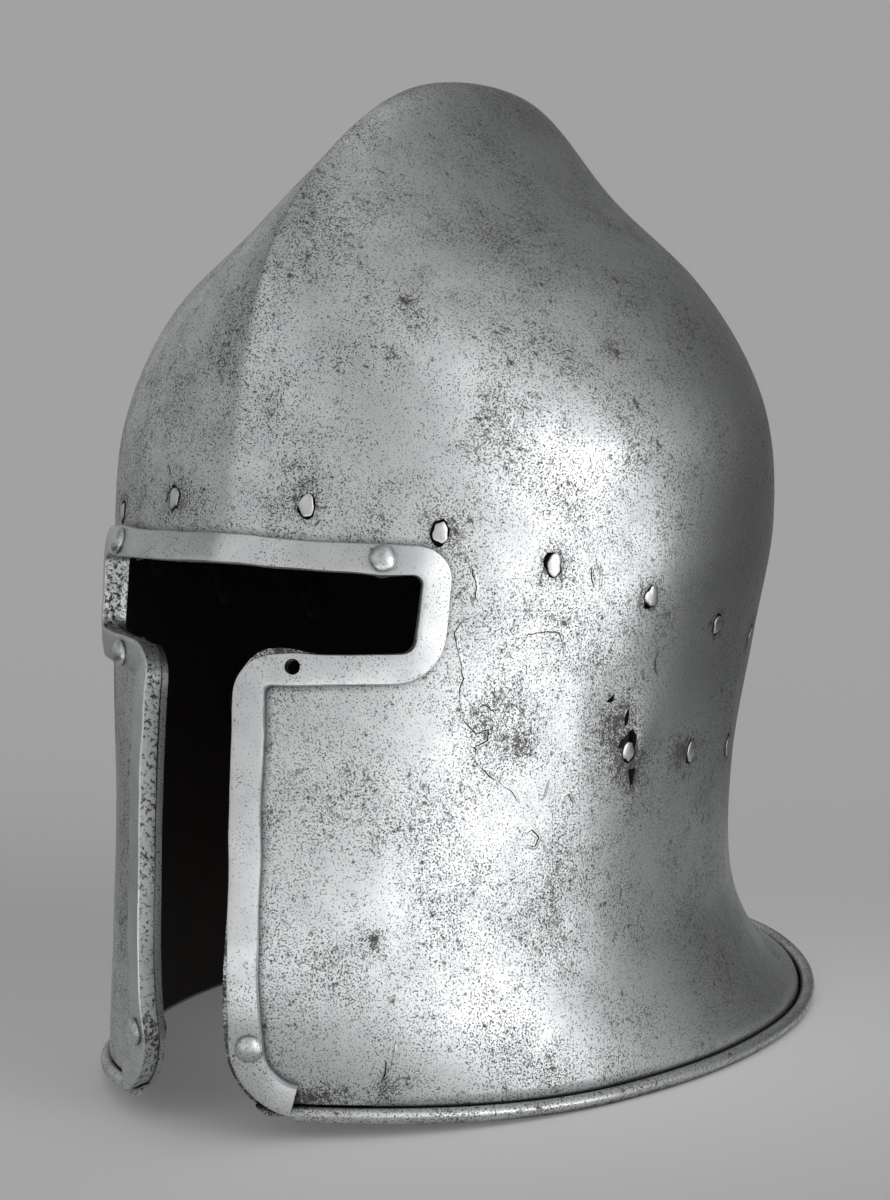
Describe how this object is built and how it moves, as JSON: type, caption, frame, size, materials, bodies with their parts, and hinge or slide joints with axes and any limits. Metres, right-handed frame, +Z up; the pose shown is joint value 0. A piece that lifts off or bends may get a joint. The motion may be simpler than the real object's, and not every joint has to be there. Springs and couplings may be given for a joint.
{
  "type": "barbute helmet",
  "caption": "Medieval barbute helmet raised from one steel plate, with a medial ridge, a T-shaped face opening edged by a thick riveted band, and a rolled, flared rim.",
  "frame": {"origin": "on the floor under the middle of the helmet's bounding box", "axes": "+Z up to the crown, the face looks along -Y, +X is the wearer's left"},
  "size_m": [0.206, 0.289, 0.3024],
  "materials": {
    "raised_steel": "old polished steel, hand raised, with dark pitting and scratches",
    "band_steel": "forged strip, filed and worn bright, pitted",
    "rivet_iron": "hammered iron rivet heads, dark in the hollows"
  },
  "bodies": {
    "root": {"skull": "raised_steel", "face_band": "band_steel", "band_rivet_brow_left": "rivet_iron", "band_rivet_brow_right": "rivet_iron", "band_rivet_arm_right": "rivet_iron", "band_rivet_cheek_left": "rivet_iron", "band_rivet_cheek_right": "rivet_iron", "lining_rivet_left_1": "rivet_iron", "lining_rivet_right_1": "rivet_iron", "lining_rivet_left_2": "rivet_iron", "lining_rivet_right_2": "rivet_iron", "lining_rivet_left_3": "rivet_iron", "lining_rivet_right_3": "rivet_iron", "lining_rivet_left_4": "rivet_iron", "lining_rivet_right_4": "rivet_iron", "lining_rivet_left_5": "rivet_iron", "lining_rivet_right_5": "rivet_iron", "lining_rivet_left_6": "rivet_iron", "lining_rivet_right_6": "rivet_iron", "lining_rivet_left_7": "rivet_iron", "lining_rivet_right_7": "rivet_iron", "lining_rivet_left_8": "rivet_iron", "lining_rivet_right_8": "rivet_iron", "strap_rivet_left_1": "rivet_iron", "strap_rivet_right_1": "rivet_iron", "strap_rivet_left_2": "rivet_iron", "strap_rivet_right_2": "rivet_iron", "plug_rivet": "rivet_iron"}
  },
  "joints": []
}
